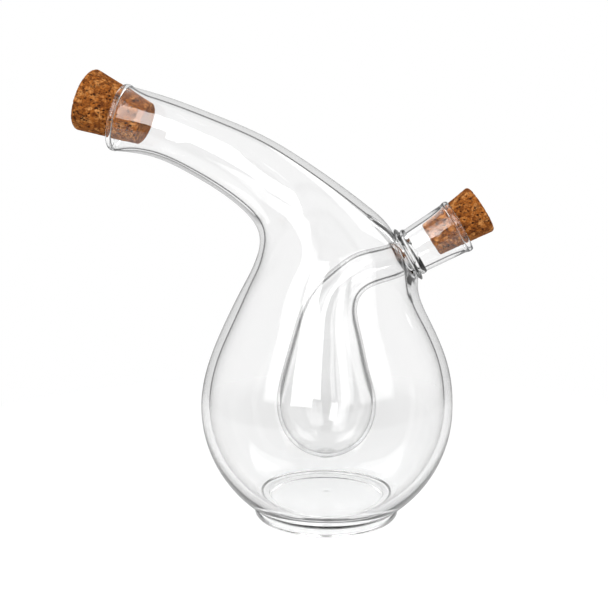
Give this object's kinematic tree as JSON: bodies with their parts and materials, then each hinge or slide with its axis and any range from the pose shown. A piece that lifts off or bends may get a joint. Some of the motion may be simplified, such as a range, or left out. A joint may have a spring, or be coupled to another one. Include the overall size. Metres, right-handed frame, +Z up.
{
  "type": "oil and vinegar dispenser",
  "caption": "Clear glass flask inside a flask: a bulb with a bent spout, a hanging inner drop with a side neck, and a tapered cork in each mouth.",
  "frame": {"origin": "centre of the whole object's box, at the height of the surface that the foot stands on; the bulb's own axis is 17 mm towards +X", "axes": "+Z up, -X towards the spout's mouth, +X towards the side neck; the plane Y = 0 halves the object"},
  "size_m": [0.1564, 0.0952, 0.1681],
  "materials": {
    "glass": "clear, smooth, fire polished",
    "cork": "pressed cork granules, matte"
  },
  "bodies": {
    "flask": {"outer_vessel": "glass", "foot_ring": "glass", "spout_lip": "glass", "inner_vessel": "glass", "ring_seal": "glass", "side_neck": "glass", "side_lip": "glass"},
    "spout_stopper": {"spout_cork": "cork"},
    "side_stopper": {"side_cork": "cork"}
  },
  "joints": [
    {"name": "spout_cork_pull", "type": "slide", "parent": "flask", "child": "spout_stopper", "axis": [-0.9259, 0, 0.3778], "range_m": [0, 0.03]},
    {"name": "side_cork_pull", "type": "slide", "parent": "flask", "child": "side_stopper", "axis": [0.8425, 0, 0.5388], "range_m": [0, 0.03]}
  ]
}
